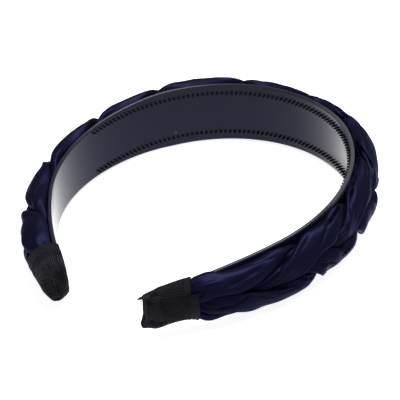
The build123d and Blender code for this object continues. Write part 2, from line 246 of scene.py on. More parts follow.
# Looks of a cap: number of ribs, where they start and stop along it, what is left of them after
# that and on the lower side, crests paled by a painted highlight (from, to, how pale) and how far the
# ribs lean.
CapLook = namedtuple(
    "CapLook",
    "ribs ribs_from ribs_to ribs_after ribs_below ribs_pale lean mouth_z mouth_n end_z "
    "dents shades folds threads",
)
LOOK_LEFT = CapLook(
    ribs=52,
    ribs_from=4.2,
    ribs_to=14,
    ribs_after=0.25,
    ribs_below=1,
    ribs_pale=(8.6, 14, 0.8),
    lean=0.001,
    # z or n, and how far the edge is moved along
    mouth_z=((-9, 0), (9, 0)),
    mouth_n=((-1, 0), (1.5, -1.4), (4, -2), (6.5, -2), (9, -1.6), (14, -2.4)),
    end_z=((-9, -3.2), (-6.5, -2.8), (-4, -1.2), (-1, 0), (9, 0.2)),
    # s, n, z, reach, depth
    dents=(
        (-201.5, 3.3, 5.2, 2.4, 1.3), (-199.2, 2.8, 6.6, 1.8, 0.8), (-203.7, 4.4, 3, 1.4, 0.7),
        (-188.5, 10.8, 4.3, 2, -0.35), (-199.6, 8, 4.6, 1.5, -0.3),
    ),
    # s, n, z, reach, how much darker the painted shade makes it
    shades=(
        (-198.6, 2.9, 5.4, 2.4, 0.25), (-201.3, 3.3, 3.9, 2.6, 0.3), (-203.2, 4.9, 2.9, 1.6, 0.3),
        (-183, 9, 4.5, 2.2, 0.25),
    ),
    # depth, width, corners (s, n, z)
    folds=(
        (0.45, 0.3, ((-199.4, 7.4, 5.3), (-200.4, 6.6, 5.4), (-201.2, 5.8, 5.2))),
        (0.35, 0.28, ((-196.6, 9.9, 2.7), (-198.4, 9, 3.6), (-200.2, 7.8, 4.7))),
        (0.4, 0.28, ((-196.9, 10.1, 1.4), (-199, 9.2, 2.6), (-201.1, 8, 3.7))),
        (0.35, 0.28, ((-197.8, 10, 0.5), (-199.9, 9.1, 1.9), (-201.9, 7.9, 3.1))),
        (-0.4, 0.35, ((-199.6, 9.8, -0.8), (-201.2, 9.2, 0.4), (-202.6, 8.2, 1.6))),
        (0.45, 0.3, ((-200.6, 9.4, -0.9), (-202.2, 8.9, -0.2), (-203.6, 8, 0.4))),
        (-0.3, 0.45, (
            (-190.9, 0.2, 8.7), (-195.7, 0.2, 7.9), (-198.8, 0.5, 7), (-201.2, 0.6, 4.8),
            (-202.3, 0.7, 2.1),
        )),
        (0.4, 0.45, (
            (-186, 2, 8.9), (-190, 2.2, 8.8), (-193.9, 2.2, 8.3), (-197.3, 1.7, 7.4),
            (-199.9, 1.3, 6.4),
        )),
        (0.45, 0.35, ((-204, 5.4, 2.2), (-204.8, 4.6, 2.1), (-204.8, 3.1, 1.3), (-203.9, 2, 0.6))),
        (-0.35, 0.35, ((-204, 3.8, 2.6), (-203.6, 2.4, 2.4), (-203, 1.4, 1.6))),
        (0.3, 0.4, ((-192.4, 6.6, 7.4), (-194.4, 6, 7.4), (-196.4, 5.8, 7.2), (-198.1, 6.4, 6.6))),
        (0.3, 0.35, ((-192.6, 8.8, 6.4), (-194.4, 8.1, 6.2), (-197, 7.6, 6.2))),
        (0.5, 0.4, ((-203.2, 7.8, 0.4), (-204.4, 6, 0.6), (-204.6, 4.4, 0.4), (-203.8, 2.6, -0.6))),
    ),
    # start, middle and end (s, n, z), thickness, how many
    threads=(
        ((-198.4, 8.3, 5.4), (-200.2, 6.9, 5.9), (-201.4, 5.3, 5.5), 0.28, 1),
        ((-201.4, 5.3, 5.5), (-202.6, 5.5, 4.5), (-203.4, 5.4, 3.5), 0.28, 1),
    ),
)
LOOK_RIGHT = CapLook(
    ribs=46,
    ribs_from=3.3,
    ribs_to=15.4,
    ribs_after=0,
    ribs_below=0.25,
    ribs_pale=(4, 15, 0),
    lean=0.0036,
    mouth_z=((-9, -1.3), (5.8, -1.3), (6.5, 1.3), (7.6, 0.7), (8.6, 0.1), (9.3, 0)),
    mouth_n=((-1, -0.4), (1.5, 0.3), (4.6, 1.6), (14, 1.6)),
    end_z=(
        (-9, 1.3), (-7, 1), (-5, 0.1), (-3, -0.6), (0, -0.8), (3, -1), (5.4, -0.8), (6.2, -1.5),
        (6.9, -3.2), (7.6, -4.9),
    ),
    dents=(
        (201, 4.1, 5.2, 1.4, 1), (199.8, 4.8, 4.9, 1.3, 0.8), (198.1, 5.2, 6.2, 1, -0.3),
    ),
    shades=(
        (182.6, 8.4, 5.2, 3.8, 0.32), (186.2, 7.8, 6.2, 3.8, 0.42), (195.9, 6.5, 4.3, 2.8, 0.34),
        (192.8, 7.4, 3.9, 2.6, 0.22), (202, 4.4, 1, 1.6, 0.25),
    ),
    folds=(
        (0.45, 1, ((201.6, 4.2, 4.8), (201.9, 4.4, 1.6), (202.4, 4.5, -1.2), (202.8, 4.3, -3.6))),
        (-0.25, 0.9, ((199.6, 5, 4.6), (199.8, 5.2, 1.6), (200.2, 5.3, -1.2))),
        (0.5, 0.35, ((196, 4.8, 7.8), (197.8, 4, 8), (199.4, 3.7, 7.7), (200.8, 3.3, 7.4))),
        (-0.45, 0.4, ((196.6, 2.8, 8.5), (198, 2.4, 8.5), (199.4, 1.6, 8.3))),
        (0.45, 0.3, ((197.2, 3.4, 8.3), (198.2, 3.3, 8.3), (199.2, 2.8, 8.2))),
        (0.4, 0.35, (
            (202.3, 4.5, -3.6), (200.7, 5.3, -2.8), (199.6, 5.6, -3.6), (198, 5.9, -4.2),
            (195.6, 6.3, -4.8),
        )),
        (-0.35, 0.35, ((201.6, 4.6, -4.2), (200, 5.2, -4.4), (198.2, 5.5, -5), (196, 5.8, -5.4))),
        (0.4, 0.3, ((202.2, 4.2, -5), (200.4, 4.8, -5.2), (198.6, 5, -5.9), (196.4, 5.2, -6.4))),
        (0.35, 0.45, ((196.6, 5.5, 6.4), (197.2, 6.3, 3.4), (197.5, 6.5, 1.2))),
        (0.3, 0.3, ((194.8, 6.6, -4), (193.4, 6.9, -4.4), (191.6, 7, -5))),
    ),
    threads=(
        ((200.2, 2.4, 6.9), (203, 3, 7.4), (205.4, 3.4, 7.8), 0.85, 14),
        ((203, 1.6, -6.2), (203.8, 1.2, -6.5), (204.6, 0.7, -6.7), 0.45, 6),
        ((198, 2, 7.8), (199, 2.6, 8.3), (200, 2.2, 8), 0.16, 3),
        ((199.4, 1, 7.4), (200.2, 1.5, 8.1), (201.2, 2, 7.8), 0.16, 3),
    ),
)
# Ribs: depth, what shows of them where they stop, soft ends along, and waver along the cap.
RIB_SEED = 3
RIB_DEEP, RIB_LEFT = 0.26, 0.1
RIBS_START, RIBS_STOP, RIBS_FADE = (-0.2, 0.5), (-0.4, 0.8), (0.36, 0.44)
PALE_START, PALE_STOP = (-0.4, 0.4), (-1.2, 0.6)
RIB_WAVER = ((0.004, 3.1), (0.002, 1.3))
# Ripples: turns round the cap, length along it and height.
RIB_EVEN, RIB_RIPPLE = 0.85, (5, 2.3, 0.25)
SLOW_RIPPLE, SLOW_FROM, SLOW_FULL = (3, 3, 0.10), 1, 6
END_RIPPLE, END_BEFORE = (8, -1.1, 0.05), 4
# The woven edge at the mouth: a lower step, a groove, and scallops at the ribs.
STEP_LOWER, STEP_EDGE = 0.35, (-0.35, -0.1)
SELVEDGE_GROOVE, SELVEDGE_AT, SELVEDGE_WIDE = 0.22, 1.0, 0.22
SCALLOP, SCALLOP_TO = 0.14, 1.5
# On the inner side, below INNER_SIDE, no mark is deeper than INNER_DEEPEST.
INNER_SIDE, INNER_DEEPEST = 1.0, 0.25
WALL_FROM, WALL_FULL = 1.0, 3.0
LIP_ROUND = 0.5
FOLD_FADE, FOLD_LEFT = 0.15, 0.3
# Painted shade where a cap's dents and folds press in, painted highlight where they stand out, and
# painted shade on the fold over the tip.
FOLD_DARKER, FOLD_RANGE = 0.7, (-0.3, 1.2)
END_DARKER = 0.3
# Loose threads of a wisp, as shares of its thickness, or one thread by itself.
THREAD_ROWS, THREAD_SIDES = 9, 6
THREAD_PALE = -0.7
WISP_APART, WISP_CURL, WISP_JOINS, WISP_THREAD, WISP_TAPER = 0.3, 0.35, 0.75, 0.3, 0.35
LONE_CURL, LONE_THREAD = 0.3, 0.5
THREAD_ACROSS = (0.3, 0.2, 0.93)

# Colours, in linear light.
WHITE = (1, 1, 1, 1)
NAVY, NAVY_LIGHT = (0.0095, 0.0098, 0.034, 1), (0.0125, 0.0122, 0.04, 1)
# Colour of the painted shade in the satin's creases and where strands touch.
NAVY_SHADE = (0.0012, 0.0013, 0.006, 1)
SATIN_TINT, SATIN_SHEEN = (0.3, 0.32, 0.48, 1), (0.35, 0.38, 0.8, 1)
PLASTIC_DARK, PLASTIC_LIGHT = (0.007, 0.0085, 0.031, 1), (0.0085, 0.01, 0.035, 1)
# Painted highlights: the strip's inner edges, and its upper edge on the right leg.
EDGE_HIGHLIGHT, RIM_HIGHLIGHT = (0.017, 0.018, 0.03, 1), (0.072, 0.074, 0.092, 1)
DUST = (0.08, 0.08, 0.09, 1)
TOOTH_DARK, TOOTH_LIGHT = (0.003, 0.003, 0.006, 1), (0.005, 0.005, 0.01, 1)
RIBBON_DARK, RIBBON_LIGHT = (0.0058, 0.0052, 0.0095, 1), (0.0092, 0.0082, 0.0145, 1)
# Pale: painted highlight on rib crests and raised folds, and the pale loose threads. Dark: painted
# shade in rib valleys, dents, folds and over the tip.
RIB_PALE, RIBBON_SHADE = (0.035, 0.032, 0.045, 1), (0.0012, 0.0012, 0.0018, 1)
RIBBON_SHEEN = (0.7, 0.66, 0.85, 1)
FLOOR_TONE = (0.92, 0.92, 0.92, 1)

# Floor, light and camera.
FLOOR_SIZE, FLOOR_GLOW = 4.0, 0.85
FLOOR_AT = (0, 0, -0.0002)
WORLD_LEVELS, WORLD_POWER = (0.42, 2.5), 3.5
WORLD_TOWARDS, WORLD_ENDS = (-0.61, 0.79, 0), (-0.9, 0.9)
WORLD_ABOVE, ABOVE_ENDS = 0.26, (-0.53, -0.26)
LIGHT_AT, LIGHT_SIZE, LIGHT_WATTS = (0.15, 0.2, 0.9), (0.7, 0.6), 7.5
# Azimuth, elevation and roll.
CAMERA_ANGLES = (32.17, 33.31, -6.22)
CAMERA_DISTANCE = 823.0
CAMERA_TARGET = (1.302, -74.331, 0)
CAMERA_LENS, CAMERA_SENSOR = 169.5, 36.0
CAMERA_CLIP = (0.01, 20)


def turn_matrix():
    ax, ay = math.radians(LIE_TURN_X), math.radians(LIE_TURN_Y)
    about_x = np.array([
        [1, 0, 0], [0, math.cos(ax), -math.sin(ax)], [0, math.sin(ax), math.cos(ax)],
    ])
    about_y = np.array([
        [math.cos(ay), 0, math.sin(ay)], [0, 1, 0], [-math.sin(ay), 0, math.cos(ay)],
    ])
    return about_x @ about_y


LAID_TURN = turn_matrix()


def laid(points):
    """Points of the band's own frame, in the frame's metres."""
    return (np.asarray(points, float) @ LAID_TURN.T + LIE_SHIFT) * MM


def plan(s):
    """Point and turn of the inner face at each s."""
    s = np.asarray(s, float)
    left = np.abs(s)
    x, y, turn = np.zeros_like(left), np.zeros_like(left), np.zeros_like(left)
    for radius, length in PLAN:
        go = np.minimum(left, length)
        x += radius * (np.sin(turn + go / radius) - np.sin(turn))
        y += radius * (np.cos(turn + go / radius) - np.cos(turn))
        turn += go / radius
        left = left - go
    x += left * np.cos(turn)
    y -= left * np.sin(turn)
    sign = np.where(s >= 0, 1, -1)
    return x * sign, y, turn * sign


def place(s, n, z):
    """Points at s along, n out and z across."""
    x, y, turn = plan(s)
    return np.stack(np.broadcast_arrays(x + n * np.sin(turn), y + n * np.cos(turn), z), -1)


def rows_at(table, s):
    """Values of a table at each s, on a smooth line through its rows."""
    rows = np.array(table, float)
    s = np.asarray(s, float)
    i = np.clip(np.searchsorted(rows[:, 0], s, side="right") - 1, 0, len(rows) - 2)
    a, b = rows[i], rows[i + 1]
    low, high = rows[np.maximum(i - 1, 0)], rows[np.minimum(i + 2, len(rows) - 1)]
    span = b[:, :1] - a[:, :1]
    share = np.clip((s[:, None] - a[:, :1]) / span, 0, 1)
    start = (b - low) / (b[:, :1] - low[:, :1]) * span
    end = (high - a) / (high[:, :1] - a[:, :1]) * span
    t2, t3 = share**2, share**3
    ends = (2 * t3 - 3 * t2 + 1) * a + (t3 - 2 * t2 + share) * start
    return (ends + (3 * t2 - 2 * t3) * b + (t3 - t2) * end)[:, 1:]


def step_up(value, low, high):
    """Smooth step from 0 at low to 1 at high."""
    share = np.clip((value - low) / (high - low), 0, 1)
    return share * share * (3 - 2 * share)


def half_width(s):
    """Half width of the band at each s: taper, then the rounded tip."""
    s = np.abs(np.asarray(s, float))
    share = np.clip((s - TAPER_FROM) / (HALF_LENGTH - TAPER_FROM), 0, 1)
    before = HALF_LENGTH - s
    tip = np.array(TIP_ROUND[::-1])
    rounded = np.interp(before, tip[:, 0], tip[:, 1])
    straight = CROWN_HALF + (TIP_HALF - CROWN_HALF) * share
    return np.where(before < TIP_ROUND[0][0], rounded, straight)


def phase_at(s):
    rows = [(end, -THIRD * i) for i, end in enumerate(LOBE_ENDS)]
    return LOBE_PHASE + rows_at(rows, s)[:, 0]


def section_values(phase):
    """Side, up, half width, half thickness and lean at each phase."""
    rows = np.array([row[1:] for row in SECTION])
    rows = np.concatenate([rows, rows * np.array([-1, 1, 1, 1, -1])])
    count = len(rows)
    away = np.radians(phase)[:, None] - TURN * np.arange(count) / count
    weight = 1 + 2 * sum(np.cos(k * away) for k in range(1, count // 2))
    return (weight + np.cos(count // 2 * away)) / count @ rows


def columns(section):
    """Side, up, half width, half thickness, and cosine and sine of the lean, as columns."""
    *sizes, lean = [section[:, i, None] for i in range(5)]
    return *sizes, np.cos(np.radians(lean)), np.sin(np.radians(lean))


def outside(section, side, up):
    """Distance outside a strand's section, less than zero inside it."""
    mid_side, mid_up, wide, thick, c, t = columns(section)
    u = (side - mid_side) * c + (up - mid_up) * t
    v = (up - mid_up) * c - (side - mid_side) * t
    power = np.abs(u / wide) ** SECTION_POWER + np.abs(v / thick) ** SECTION_POWER
    ratio = (power + TINY) ** (1 / SECTION_POWER)
    return (ratio - 1) * np.hypot(u, v) / ratio


def own_and_others(sections, k, side, up):
    """Distance outside strand k's section, and outside the nearer of the other two."""
    others = [outside(sections[j], side, up) for j in range(3) if j != k]
    return outside(sections[k], side, up), np.minimum(*others)


def section_rings(sections, k, sides):
    """Outlines of strand k, pressed against its neighbours, as side and up."""
    mid_side, mid_up, wide, thick, c, t = columns(sections[k])
    angle = TURN * np.arange(sides) / sides
    u, v = wide * np.cos(angle), thick * np.sin(angle)
    reach_side, reach_up = u * c - v * t, u * t + v * c
    near, far = np.full(u.shape, PRESS_NEAR), np.full(u.shape, PRESS_FAR)
    for _ in range(PRESS_STEPS):
        half = (near + far) / 2
        side, up = mid_side + half * reach_side, mid_up + half * reach_up
        own, others = own_and_others(sections, k, side, up)
        fits = (up >= 0) & (own <= SECTION_PUFF) & (own + STRAND_GAP <= others)
        near, far = np.where(fits, half, near), np.where(fits, far, half)
    return mid_side + near * reach_side, mid_up + near * reach_up


def even_rings(points, sides):
    """The same closed rings with evenly spaced points."""
    ring = np.concatenate([points, points[:, :1]], 1)
    steps = norm(np.diff(ring, axis=1), axis=2)
    run = np.concatenate([np.zeros((len(points), 1)), np.cumsum(steps, 1)], 1)
    result = np.empty((len(points), sides, points.shape[2]))
    for i in range(len(points)):
        goal = np.arange(sides) / sides * run[i, -1]
        for axis in range(points.shape[2]):
            result[i, :, axis] = np.interp(goal, run[i], ring[i, :, axis])
    return result


def between(points, axis, closed):
    """Points halfway along an axis of a grid, by the four-point rule for smooth lines."""
    if closed:
        before, here, after, last = (np.roll(points, turn, axis) for turn in (1, 0, -1, -2))
    else:
        first = 2 * points.take([0], axis) - points.take([1], axis)
        final = 2 * points.take([-1], axis) - points.take([-2], axis)
        wide = np.concatenate([first, points, final], axis)
        count = points.shape[axis]
        before, here, after, last = (wide.take(range(i, i + count - 1), axis) for i in range(4))
    return (9 * (here + after) - before - last) / 16


def refine(points):
    """The same tube with twice the points along it and round it."""
    longer = np.empty((2 * points.shape[0] - 1, *points.shape[1:]))
    longer[::2], longer[1::2] = points, between(points, 0, False)
    finer = np.empty((longer.shape[0], 2 * longer.shape[1], *longer.shape[2:]))
    finer[:, ::2], finer[:, 1::2] = longer, between(longer, 1, True)
    return finer


def soften(points):
    """Evens a tube's points out a little, round it and along it."""
    around = (np.roll(points, 1, 1) + np.roll(points, -1, 1)) / 2
    points = points + SOFTENED * (around - points)
    along = points.copy()
    along[1:-1] = (points[:-2] + points[2:]) / 2
    return points + SOFTENED * (along - points)


def normals_of(points):
    """Outward directions of a tube's points."""
    along = np.gradient(points, axis=0)
    around = np.roll(points, -1, 1) - np.roll(points, 1, 1)
    normal = np.cross(around, along)
    normal /= norm(normal, axis=2, keepdims=True) + TINIER
    middle = points.mean(1, keepdims=True)
    return -normal if ((points - middle) * normal).sum() < 0 else normal


def lengths_of(points):
    """Length along a tube and girth round it at each of its points."""
    length = np.zeros(points.shape[:2])
    length[1:] = np.cumsum(norm(np.diff(points, axis=0), axis=2), 0)
    girth = np.zeros(points.shape[:2])
    girth[:, 1:] = np.cumsum(norm(np.diff(points, axis=1), axis=2), 1)
    return length.mean(1, keepdims=True) + 0 * length, girth


def tube_faces(rows, sides, first, folded_end=False):
    """Faces of a closed tube of points. A folded end is stitched flat across."""
    i = np.arange(rows - 1)[:, None] * sides
    j = np.arange(sides)[None, :]
    after = (j + 1) % sides
    quads = np.stack([i + j, i + after, i + sides + after, i + sides + j], -1)
    faces = (quads.reshape(-1, 4) + first).tolist()
    last = first + (rows - 1) * sides
    if folded_end:
        for a in range(sides // 2):
            across = last + (sides - a - 1) % sides, last + (sides - a) % sides
            faces.append(list(dict.fromkeys([last + a, last + a + 1, *across])))
    else:
        faces.append(list(range(last, last + sides)))
    faces.append(list(range(first + sides - 1, first - 1, -1)))
    return faces


def mesh_piece(name, tubes):
    """One piece of closed tubes: points, their fold values, and whether the end is folded."""
    verts, faces, weave, fold = [], [], [], []
    count = 0
    for points, folds, folded_end in tubes:
        rows, sides = points.shape[:2]
        faces += tube_faces(rows, sides, count, folded_end)
        length, girth = lengths_of(points)
        verts.append(laid(points).reshape(-1, 3))
        weave.append(np.stack([length * MM, girth * MM, 0 * length], -1).reshape(-1))
        fold.append(np.broadcast_to(folds, (rows, sides)).reshape(-1))
        count += rows * sides
    mesh = bpy.data.meshes.new(name)
    mesh.from_pydata(np.concatenate(verts).tolist(), [], faces)
    kinds = ("weave", "FLOAT_VECTOR", "vector", weave), ("fold", "FLOAT", "value", fold)
    for label, kind, field, values in kinds:
        attribute = mesh.attributes.new(label, kind, "POINT")
        attribute.data.foreach_set(field, np.concatenate(values).astype(np.float32))
    build = bmesh.new()
    build.from_mesh(mesh)
    bmesh.ops.recalc_face_normals(build, faces=build.faces)
    build.to_mesh(mesh)
    build.free()
    mesh.shade_smooth()
    return linked(name, mesh)


def linked(name, data):
    made = bpy.data.objects.new(name, data)
    bpy.context.scene.collection.objects.link(made)
    return made


def strand_rows(count):
    """Places along the band, between even lengths and even steps of the plait's phase."""
    ends = PLAIT[0][0], PLAIT[-1][0]
    first, last = phase_at(ends)
    fine = np.linspace(*ends, FINE_STEPS * count)
    steps = (phase_at(fine) - first) / (last - first)
    return (np.interp(np.linspace(0, 1, count), steps, fine) + np.linspace(*ends, count)) / 2


def strand_points(k, s, sides):
    """Surface of strand k of the plait in the band's frame, and how freely each point stands."""
    sections = [section_values(phase_at(s) + THIRD * j) for j in range(3)]
    side, up = section_rings(sections, k, 2 * sides)
    size = rows_at(PLAIT, s)
    half, tall, shift = size[:, :1], size[:, 1:2], size[:, 2:3]
    own, others = own_and_others(sections, k, side, up)
    apart = np.clip((others - own - STRAND_GAP) / FREE_FROM, 0, 1)
    free = apart * np.clip(up / FREE_FROM, 0, 1)
    lower = np.clip((1 - side / SECTION_HALF) / 2, 0, 1) ** LOWER_POWER
    along = s[:, None] + rows_at(LOWER_SHIFT, s) * lower
    across = shift + side * half / SECTION_HALF
    out = PLASTIC + BAND_GAP + up * tall / SECTION_TALL
    lap = step_up(s, LAP_FROM, LAP_FULL) * (1 - step_up(s, LAP_BACK, LAP_END))
    edge = half_width(s)[:, None]
    out = out - LAP_DEEP * lap[:, None] * step_up(across, edge + LAP_NEAR, edge + LAP_OVER)
    grid = even_rings(np.stack([across, out, free, along], -1), sides)
    return place(grid[..., 3], grid[..., 1], grid[..., 0]), grid[..., 2]


def puff_up(name, points, free):
    """Cloth simulation of one strand: its satin, cut with some slack, blown up from inside."""
    rows, sides = points.shape[:2]
    mesh = bpy.data.meshes.new(name)
    faces = tube_faces(rows, sides, 0)
    mesh.from_pydata((points * SIM_SCALE).reshape(-1, 3).tolist(), [], faces)
    piece = linked(name, mesh)
    group = piece.vertex_groups.new(name=SIM_SETTINGS["vertex_group_mass"])
    for i, value in enumerate(free.reshape(-1)):
        group.add([i], 1 - value, "REPLACE")
    piece.shape_key_add(name="Basis")
    cut = piece.shape_key_add(name="cut")
    middle = points.mean(1, keepdims=True)
    wider = middle + (points - middle) * (1 + SIM_SLACK)
    cut.data.foreach_set("co", (wider * SIM_SCALE).reshape(-1).astype(np.float32))
    cloth = piece.modifiers.new("cloth", "CLOTH")
    cloth.settings.rest_shape_key = cut
    for setting, value in SIM_SETTINGS.items():
        setattr(cloth.settings, setting, value)
    cloth.settings.effector_weights.gravity = 0
    cloth.collision_settings.use_collision = False
    cloth.collision_settings.use_self_collision = False
    cloth.point_cache.frame_start, cloth.point_cache.frame_end = 1, SIM_FRAMES
    for number in range(1, SIM_FRAMES + 1):
        bpy.context.scene.frame_set(number)
    shown = piece.evaluated_get(bpy.context.evaluated_depsgraph_get())
    moved = np.empty(len(shown.data.vertices) * 3, np.float32)
    shown.data.vertices.foreach_get("co", moved)
    bpy.data.objects.remove(piece)
    bpy.context.scene.frame_set(1)
    move = moved.reshape(rows, sides, 3) / SIM_SCALE - points
    normal = normals_of(points)
    out = (move * normal).sum(2, keepdims=True)
    move = move - normal * np.minimum(out, 0) * INWARD_STOPPED
    length = norm(move, axis=2, keepdims=True)
    return points + move * np.minimum(1, SIM_CAP / np.maximum(length, TINY))


def smooth_line(corners):
    """Points on a smooth line through some corners."""
    corners = np.array(corners, float)
    at = np.concatenate([[0], np.cumsum(norm(np.diff(corners, axis=0), axis=1))])
    table = np.concatenate([at[:, None], corners], 1)
    return rows_at(table, np.linspace(0, at[-1], LINE_STEPS * (len(corners) - 1) + 1))


def near_line(points, line):
    """Distance of each point from a line, and its place along it from 0 to 1."""
    flat = points.reshape(-1, points.shape[-1])
    steps = np.diff(line, axis=0)
    reach = norm(steps, axis=1)
    ends = np.concatenate([[0], np.cumsum(reach)])
    best = np.full(len(flat), np.inf)
    where = np.zeros(len(flat))
    for start, step, size, run in zip(line, steps, reach, ends):
        share = np.clip((flat - start) @ step / size**2, 0, 1)
        away = norm(flat - start - share[:, None] * step, axis=1)
        nearer = away < best
        best[nearer] = away[nearer]
        where[nearer] = (run + share[nearer] * size) / ends[-1]
    return best.reshape(points.shape[:2]), where.reshape(points.shape[:2])


def crease_shape(away):
    """Depth of a crease at each distance from it in widths: a groove between two soft ridges."""
    ridge = np.exp(-((np.abs(away) - RIDGE_AWAY) / RIDGE_WIDE) ** 2)
    return np.exp(-np.abs(away) ** CREASE_POWER) - CREASE_RIDGE * ridge


def surface_line(corners, points):
    """A smooth line through corners (s, n, z), moved on to a surface and evened out."""
    flat = points.reshape(-1, 3)
    s, n, z = np.array(corners).T
    line = smooth_line(place(s, n, z))
    line = flat[[np.argmin(((flat - spot) ** 2).sum(1)) for spot in line]]
    for _ in range(LINE_EVENED):
        line = np.concatenate([line[:1], (line[:-2] + 2 * line[1:-1] + line[2:]) / 4, line[-1:]])
    return line


def line_marks(points, lines, fade, left, shape):
    """How deep some lines press each point in, each faded to what is left at its ends."""
    press = np.zeros(points.shape[:2])
    for depth, width, corners in lines:
        away, where = near_line(points, surface_line(corners, points))
        middle = step_up(where, 0, fade) * step_up(1 - where, 0, fade)
        press += depth * (left + (1 - left) * middle) * shape(away / width)
    return press


def photo_creases(k, points):
    """How deep the creases seen in the photograph press each point of strand k in."""
    lines = [(deep, wide * CREASE_THIN, line) for strand, deep, wide, line in CREASES if strand == k]
    return line_marks(
        points, lines, CREASE_FADE, CREASE_LEFT,
        lambda away: crease_shape(away) * (away < CREASE_REACH),
    )


def drawn(random, ranges):
    return [random.uniform(*ends) for ends in ranges]


def gather_marks(k):
    """Where strand k gathers: place s, share round the strand, turn a mm, depth, width, reach."""
    random = np.random.default_rng(GATHER_SEED + k)
    fine = np.linspace(PLAIT[0][0], PLAIT[-1][0], GATHER_PLACES)
    phases = phase_at(fine) + THIRD * k
    marks = []
    lowest = math.floor(phases.min() / LOBE_STEP)
    highest = math.ceil(phases.max() / LOBE_STEP)
    for lobe in range(lowest, highest + 1):
        for past in (GATHER_UP, GATHER_TUCK):
            goal = LOBE_PHASE + lobe * LOBE_STEP + past
            if not phases.min() < goal < phases.max():
                continue
            s = np.interp(-goal, -phases, fine)
            for i in range(GATHERS_EACH):
                spot, deep, wide, turn, reach, aside = drawn(random, GATHER_RANGES)
                share = GATHER_SHARE + GATHER_SPAN * (i + spot) / GATHERS_EACH
                marks.append((s + aside, share, turn, deep, wide, reach))
    for side in (-1, 1):
        for i in range(MOUTH_GATHERS):
            spot, deep, reach, turn = drawn(random, MOUTH_RANGES)
            share = (i + spot) / MOUTH_GATHERS
            marks.append((side * CAP_FROM, share, turn, deep, MOUTH_WIDE, reach))
    return marks


def gathers(k, s, points):
    """How deep the gathers press each point of strand k in."""
    length, girth = lengths_of(points)
    around = girth[:, -1:] + norm(points[:, :1] - points[:, -1:], axis=2)
    share = girth / around
    press = np.zeros(points.shape[:2])
    for at, middle, turn, deep, wide, reach in gather_marks(k):
        row = np.interp(at, s, np.arange(len(s)))
        along = length[:, :1] - np.interp(row, np.arange(len(s)), length[:, 0])
        off = share - middle - turn * along
        off = (off - np.round(off)) * around / wide
        press += deep * np.exp(-((along / reach) ** 2)) * crease_shape(off)
    return press


def soft_waves(k, points):
    """Slow unevenness of the padding, less than 1 either way."""
    random = np.random.default_rng(WAVE_SEED + k)
    length, girth = lengths_of(points)
    share = girth / girth[:, -1:]
    total = np.zeros(points.shape[:2])
    for _ in range(WAVE_COUNT):
        turns = random.integers(*WAVE_TURNS)
        pace = TURN / random.uniform(*WAVE_LENGTH)
        total += np.sin(TURN * turns * share + pace * length + random.uniform(0, TURN))
    return total / WAVE_COUNT


def make_strand(k):
    """One padded satin strand: plain shape, cloth simulation, then its creases and gathers, and painted
    shade in its creases and where it presses on its neighbours.
    """
    s = strand_rows(SIM_ROWS)
    points, free = strand_points(k, s, SIM_SIDES)
    points = soften(points)
    points = puff_up(f"cloth_{k + 1}", points, free)
    points = refine(points)
    free = np.clip(refine(free[..., None])[..., 0], 0, 1)
    s = np.interp(np.linspace(0, 1, len(points)), np.linspace(0, 1, len(s)), s)
    press = photo_creases(k, points) + gathers(k, s, points)
    press = press * (HELD_PRESS + (1 - HELD_PRESS) * free)
    press = np.clip(press + WAVE_DEEP * soft_waves(k, points) * free, -HIGHEST, DEEPEST)
    points = points - normals_of(points) * press[..., None]
    # Painted shade: darker in the creases and where the strand presses on its neighbours, less of it by
    # the right cap's mouth.
    paler = MOUTH_PALER * step_up(s, MOUTH_PALE_FROM, MOUTH_PALE_FULL)[:, None]
    contact_shade = CONTACT_SHADE * (1 - paler) * (1 - free) ** CONTACT_SHADE_POWER
    fold = np.clip(np.maximum(press / DEEPEST, contact_shade), 0, 1)
    return mesh_piece(f"satin_strand_{k + 1}", [(points, fold, False)])


def band_section(half):
    """Outline across the strip as n, z and painted highlight, the same number of points at any width.
    """
    points = []
    middle = half - EDGE_ROUND
    for quarter in range(4):
        inner = quarter in (1, 2)
        n = EDGE_ROUND if inner else PLASTIC - EDGE_ROUND
        side = middle if quarter < 2 else -middle
        for i in range(ROUND_STEPS + 1):
            angle = math.radians(90 * quarter + 90 * i / ROUND_STEPS)
            out, across = EDGE_ROUND * math.cos(angle), EDGE_ROUND * math.sin(angle)
            # The inner edges carry a painted highlight.
            points.append((n + out, side + across, HIGHLIT_EDGES * inner))
        for i in range(1, FLAT_STEPS if quarter % 2 else 0):
            across = middle * math.cos(math.pi * i / FLAT_STEPS)
            points.append((0, across, 0) if inner else (PLASTIC, -across, 0))
    return points


def make_band():
    """The bent strip with rounded edges and its two rows of comb teeth, one moulding."""
    s = np.linspace(-HALF_LENGTH, HALF_LENGTH, BAND_ROWS)
    rings, edge_highlight = [], []
    raises, pales = rows_at(RIM_RAISE, s)[:, 0], rows_at(RIM_PALE, s)[:, 0]
    for at, half, higher, pale in zip(s, half_width(s), raises, pales):
        n, z, edge = np.array(band_section(half), float).T
        z = np.where(z > 0, z * (1 + higher / half), z)
        rings.append(place(np.full(len(n), at), n, z))
        # Painted highlight along the upper edge on the right leg.
        edge_highlight.append(edge + (HIGHLIT_RIM - edge) * pale * (z > half - EDGE_ROUND))
    tubes = [(np.array(rings), np.array(edge_highlight), False)]
    angle = TURN * np.arange(TOOTH_SIDES) / TOOTH_SIDES
    squared = np.abs(np.cos(angle)) ** TOOTH_POWER + np.abs(np.sin(angle)) ** TOOTH_POWER
    reach = squared ** (-1 / TOOTH_POWER)
    for i in range(-TEETH_EACH_SIDE, TEETH_EACH_SIDE + 1):
        for side in (-1, 1):
            tooth = []
            for height, grown in TOOTH:
                along = i * TOOTH_PITCH + (TOOTH_HALF_LONG + grown) * reach * np.cos(angle)
                across = side * TOOTH_ROW_Z + (TOOTH_HALF_WIDE + grown) * reach * np.sin(angle)
                tooth.append(place(along, -height + 0 * along, across))
            tubes.append((np.array(tooth), 0, False))
    band = mesh_piece("band_moulding", tubes)
    finish = np.zeros(len(band.data.polygons), np.int32)
    finish[(BAND_ROWS - 1) * len(rings[0]) + TUBE_ENDS:] = 1
    band.data.polygons.foreach_set("material_index", finish)
    return band


